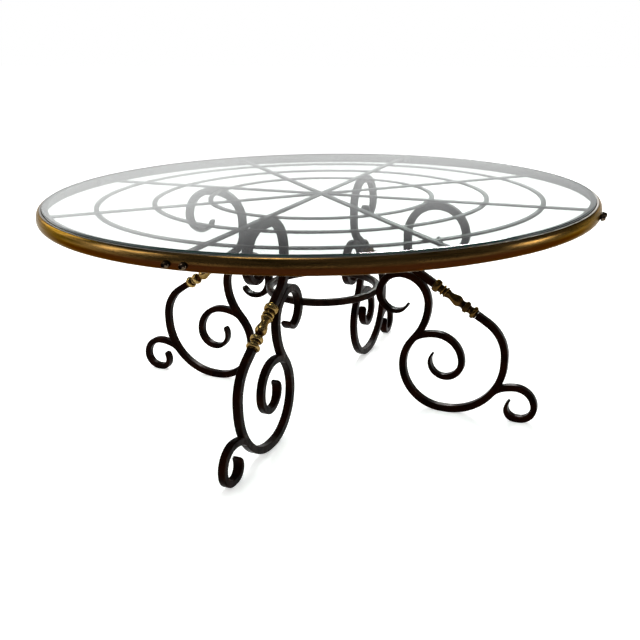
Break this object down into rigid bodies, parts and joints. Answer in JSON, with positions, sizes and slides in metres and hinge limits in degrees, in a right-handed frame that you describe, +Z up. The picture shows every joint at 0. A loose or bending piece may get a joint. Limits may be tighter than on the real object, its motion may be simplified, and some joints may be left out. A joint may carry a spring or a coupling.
{
  "type": "round coffee table",
  "caption": "Round coffee table with a loose glass top in a brass rim, carried on scrolled iron legs with turned brass balusters and a stretcher ring.",
  "frame": {"origin": "on the floor under the middle of the table", "axes": "+Z up; the legs stand on -Y (front), +X (right), +Y (back) and -X (left)"},
  "size_m": [1.1382, 1.1382, 0.46],
  "materials": {
    "wrought_iron": "hand-forged iron with a worn dark brown-black wax finish",
    "aged_brass": "aged brass, polished on the crowns and brown in the hollows",
    "plain_steel": "plain steel rod and nuts, hidden",
    "clear_glass": "clear float glass with a ground green edge"
  },
  "bodies": {
    "table": {"back_arm": "wrought_iron", "back_baluster": "aged_brass", "back_baluster_rod": "plain_steel", "back_foot_scroll": "wrought_iron", "back_inner_volute": "wrought_iron", "back_main_scroll": "wrought_iron", "bolt_back_1": "aged_brass", "bolt_back_2": "aged_brass", "bolt_front_1": "aged_brass", "bolt_front_2": "aged_brass", "bolt_left_1": "aged_brass", "bolt_left_2": "aged_brass", "bolt_right_1": "aged_brass", "bolt_right_2": "aged_brass", "brass_rim": "aged_brass", "cleat_back": "wrought_iron", "cleat_front": "wrought_iron", "cleat_left": "wrought_iron", "cleat_right": "wrought_iron", "front_arm": "wrought_iron", "front_baluster": "aged_brass", "front_baluster_rod": "plain_steel", "front_foot_scroll": "wrought_iron", "front_inner_volute": "wrought_iron", "front_main_scroll": "wrought_iron", "left_arm": "wrought_iron", "left_baluster": "aged_brass", "left_baluster_rod": "plain_steel", "left_foot_scroll": "wrought_iron", "left_inner_volute": "wrought_iron", "left_main_scroll": "wrought_iron", "nut_back_1": "plain_steel", "nut_back_2": "plain_steel", "nut_front_1": "plain_steel", "nut_front_2": "plain_steel", "nut_left_1": "plain_steel", "nut_left_2": "plain_steel", "nut_right_1": "plain_steel", "nut_right_2": "plain_steel", "right_arm": "wrought_iron", "right_baluster": "aged_brass", "right_baluster_rod": "plain_steel", "right_foot_scroll": "wrought_iron", "right_inner_volute": "wrought_iron", "right_main_scroll": "wrought_iron", "rim_liner": "wrought_iron", "spoke_back_left": "wrought_iron", "spoke_back_right": "wrought_iron", "spoke_front_left": "wrought_iron", "spoke_front_right": "wrought_iron", "strap_front_back": "wrought_iron", "strap_left": "wrought_iron", "strap_right": "wrought_iron", "stretcher_ring": "wrought_iron", "support_ring_inner": "wrought_iron", "support_ring_middle": "wrought_iron", "support_ring_outer": "wrought_iron"},
    "glass": {"glass_top": "clear_glass"}
  },
  "joints": [
    {"name": "glass_lift", "type": "slide", "parent": "table", "child": "glass", "axis": [0, 0, 1], "range_m": [0, 0.12]}
  ]
}
